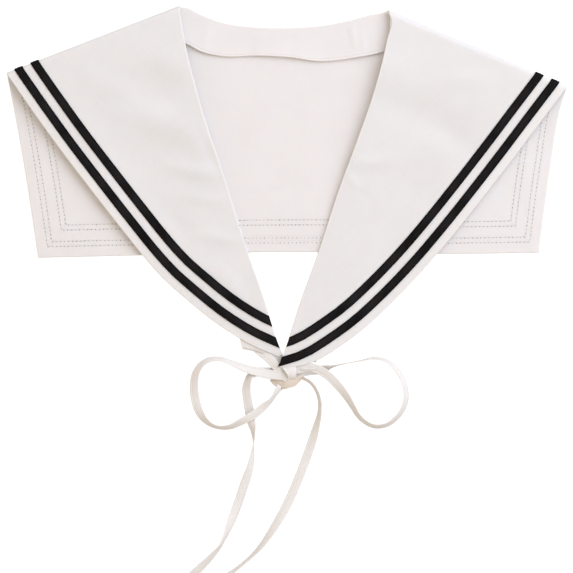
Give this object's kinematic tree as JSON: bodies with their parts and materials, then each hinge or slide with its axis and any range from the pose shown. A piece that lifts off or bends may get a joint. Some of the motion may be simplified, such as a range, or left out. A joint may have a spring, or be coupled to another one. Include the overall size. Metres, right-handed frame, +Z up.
{
  "type": "sailor collar",
  "caption": "Detachable sailor collar in off-white cotton with black tape stripes, laid flat with both fronts folded over the back flap and its narrow ties knotted in a bow.",
  "frame": {"origin": "middle of the collar without its ties, on the surface that it lies on", "axes": "+X along the shoulders towards the right of the view from above, +Y from the front points to the neck, +Z up"},
  "size_m": [0.4204, 0.4392, 0.0092],
  "materials": {
    "collar_cloth": "plain-woven off-white cotton, bagged out and pressed",
    "band_cloth": "plain-woven off-white cotton, single fold",
    "stripe_tape": "black woven tape stitched along both edges",
    "tie_tape": "folded ivory cotton tape"
  },
  "bodies": {
    "root": {"collar_body": "collar_cloth", "neck_band": "band_cloth", "stripe_left_outer": "stripe_tape", "stripe_left_inner": "stripe_tape", "stripe_right_outer": "stripe_tape", "stripe_right_inner": "stripe_tape", "tie_base_left": "tie_tape", "tie_base_right": "tie_tape", "bow_wrap": "tie_tape", "bow_fold": "tie_tape", "bow_loop_left": "tie_tape", "bow_loop_right": "tie_tape", "tie_tail_left": "tie_tape", "tie_tail_right": "tie_tape"}
  },
  "joints": []
}
